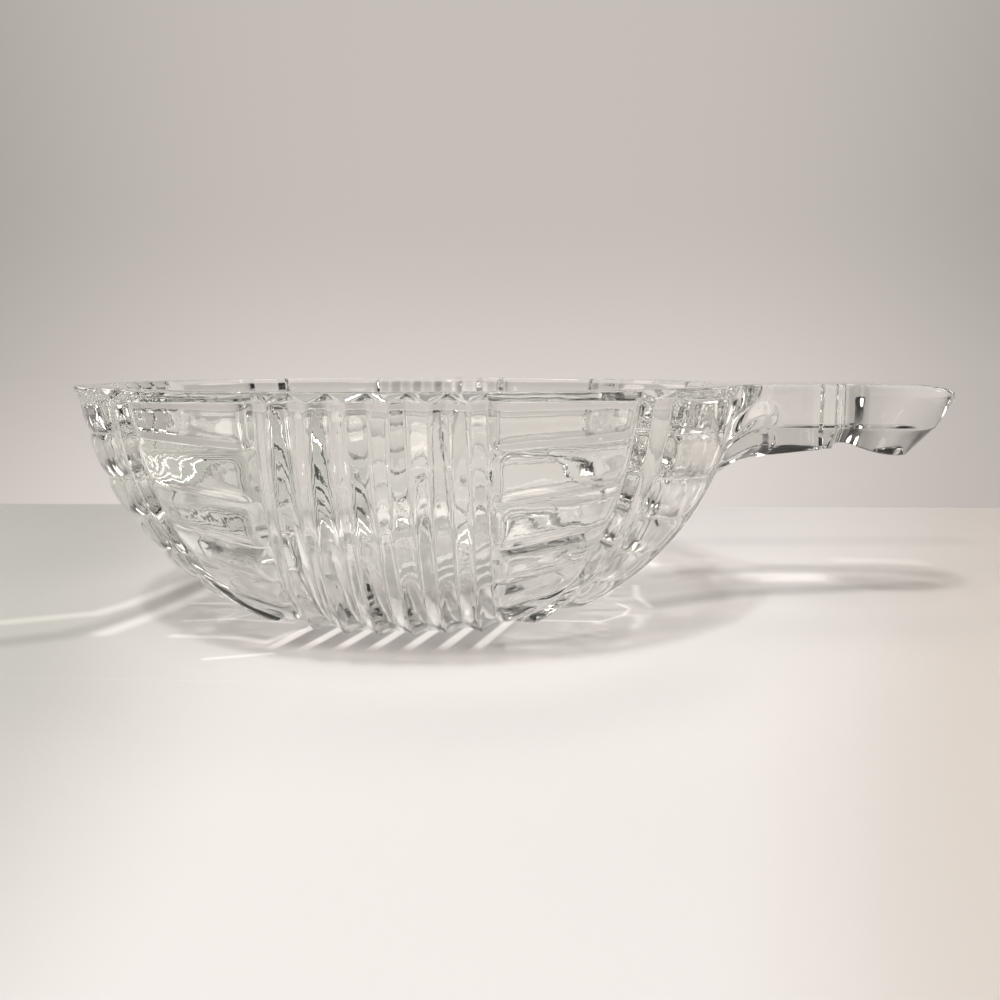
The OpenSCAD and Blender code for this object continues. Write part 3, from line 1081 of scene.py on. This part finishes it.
# Windows and lamps round the room that the glass shows: way, half angle in degrees, strength
WINDOWS = (
    ((1, 0.3, 0.5), 9, 6),
    ((-0.8, -0.5, 0.8), 9, 6),
    ((-0.7, 0.7, 0.25), 9, 4),
    ((0.75, 0.66, 0.2), 8, 4),
    ((0.1, 0.6, 1), 10, 6),
    ((-0.3, -0.9, 0.35), 9, 5),
    ((0.5, -0.8, 0.6), 8, 5),
    ((-1, 0.25, 0.15), 7, 5),
    ((0.9, -0.2, 0.1), 6, 5),
    ((-0.35, 0.35, 1), 8, 5),
)
# Angle in degrees over which a window's edge fades
WINDOW_EDGE = 1
# How the room darkens away from the wall: towards the camera's side, the sides and the ceiling
ROOM_CHANGES = (
    ("Y", (-0.3, 0.5, 0.02, 1.0)),
    ("X", (-0.62, -0.5, 0.02, 1.0)),
    ("X", (0.5, 0.65, 1.0, 0.02)),
    ("Z", (0.28, 0.5, 1.0, 0.05)),
)


def window(tree, way, towards, half_angle, strength):
    """A round patch of light in the room."""
    facing = add_node(
        tree,
        "ShaderNodeVectorMath",
        settings={"operation": "DOT_PRODUCT"},
        inputs={1: Vector(towards).normalized()},
        links={0: way},
    ).outputs["Value"]
    inner, outer = (math.cos(math.radians(a)) for a in (half_angle, half_angle + WINDOW_EDGE))
    return shaded(tree, (facing, (outer, inner, 0.0, strength)))


def room_light(tree, way, plain):
    """Strength of the light that the glass shows, given the strength of the plain wall."""
    ways = add_node(tree, "ShaderNodeSeparateXYZ", links={"Vector": way}).outputs
    dimmed = shaded(tree, *((ways[axis], change) for axis, change in ROOM_CHANGES))
    light = add_node(
        tree, "ShaderNodeMath", settings={"operation": "MULTIPLY"}, links={0: plain, 1: dimmed}
    ).outputs[0]
    for each in WINDOWS:
        light = add_node(
            tree,
            "ShaderNodeMath",
            settings={"operation": "ADD"},
            links={0: light, 1: window(tree, way, *each)},
        ).outputs[0]
    return light


def room():
    """World light: a pale wall behind the dish, and a darker room with bright windows round it.
    Seen past the dish itself, the room is the plain wall all round."""
    world = bpy.data.worlds.new("room")
    world.use_nodes = True
    bpy.context.scene.world = world
    tree = world.node_tree
    tree.nodes.clear()
    way = add_node(tree, "ShaderNodeTexCoord").outputs["Generated"]
    plain = wall_shade(tree, way)
    light, seen = (
        add_node(
            tree,
            "ShaderNodeBackground",
            inputs={"Color": linear(WALL_TONE)},
            links={"Strength": strength},
        ).outputs["Background"]
        for strength in (room_light(tree, way, plain), plain)
    )
    either = add_node(
        tree,
        "ShaderNodeMixShader",
        links={0: add_node(tree, "ShaderNodeLightPath").outputs["Is Camera Ray"], 1: light, 2: seen},
    )
    add_node(tree, "ShaderNodeOutputWorld", links={"Surface": either.outputs["Shader"]})


def camera():
    """The camera of the photo, turned a little about the bowl's axis."""
    data = bpy.data.cameras.new("camera")
    data.sensor_width = SENSOR_W
    data.lens = CAMERA_LENS
    data.clip_start = NEAREST_SEEN
    made = bpy.data.objects.new("camera", data)
    bpy.context.scene.collection.objects.link(made)
    made.location = Matrix.Rotation(CAMERA_TURN, 3, "Z") @ Vector(CAMERA_AT)
    made.rotation_euler = (math.radians(90) - CAMERA_PITCH, 0, CAMERA_TURN)
    bpy.context.scene.camera = made


# Light passes through many walls of clear glass
GLASS_BOUNCES = 24
GLOSSY_BOUNCES = 12

camera()
glass_dish = dish()
glass_dish.data.materials.clear()
glass_dish.data.materials.append(pressed_soda_lime_glass())
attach(glass_dish, "root")
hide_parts("bowl", "handle")
# Its gathered light falls on the table
glass_dish.cycles.is_caustics_caster = True
table()
room()
ceiling_lamp()

scene = bpy.context.scene
scene.view_settings.view_transform = "Standard"
scene.cycles.max_bounces = GLASS_BOUNCES
scene.cycles.transmission_bounces = GLASS_BOUNCES
scene.cycles.glossy_bounces = GLOSSY_BOUNCES
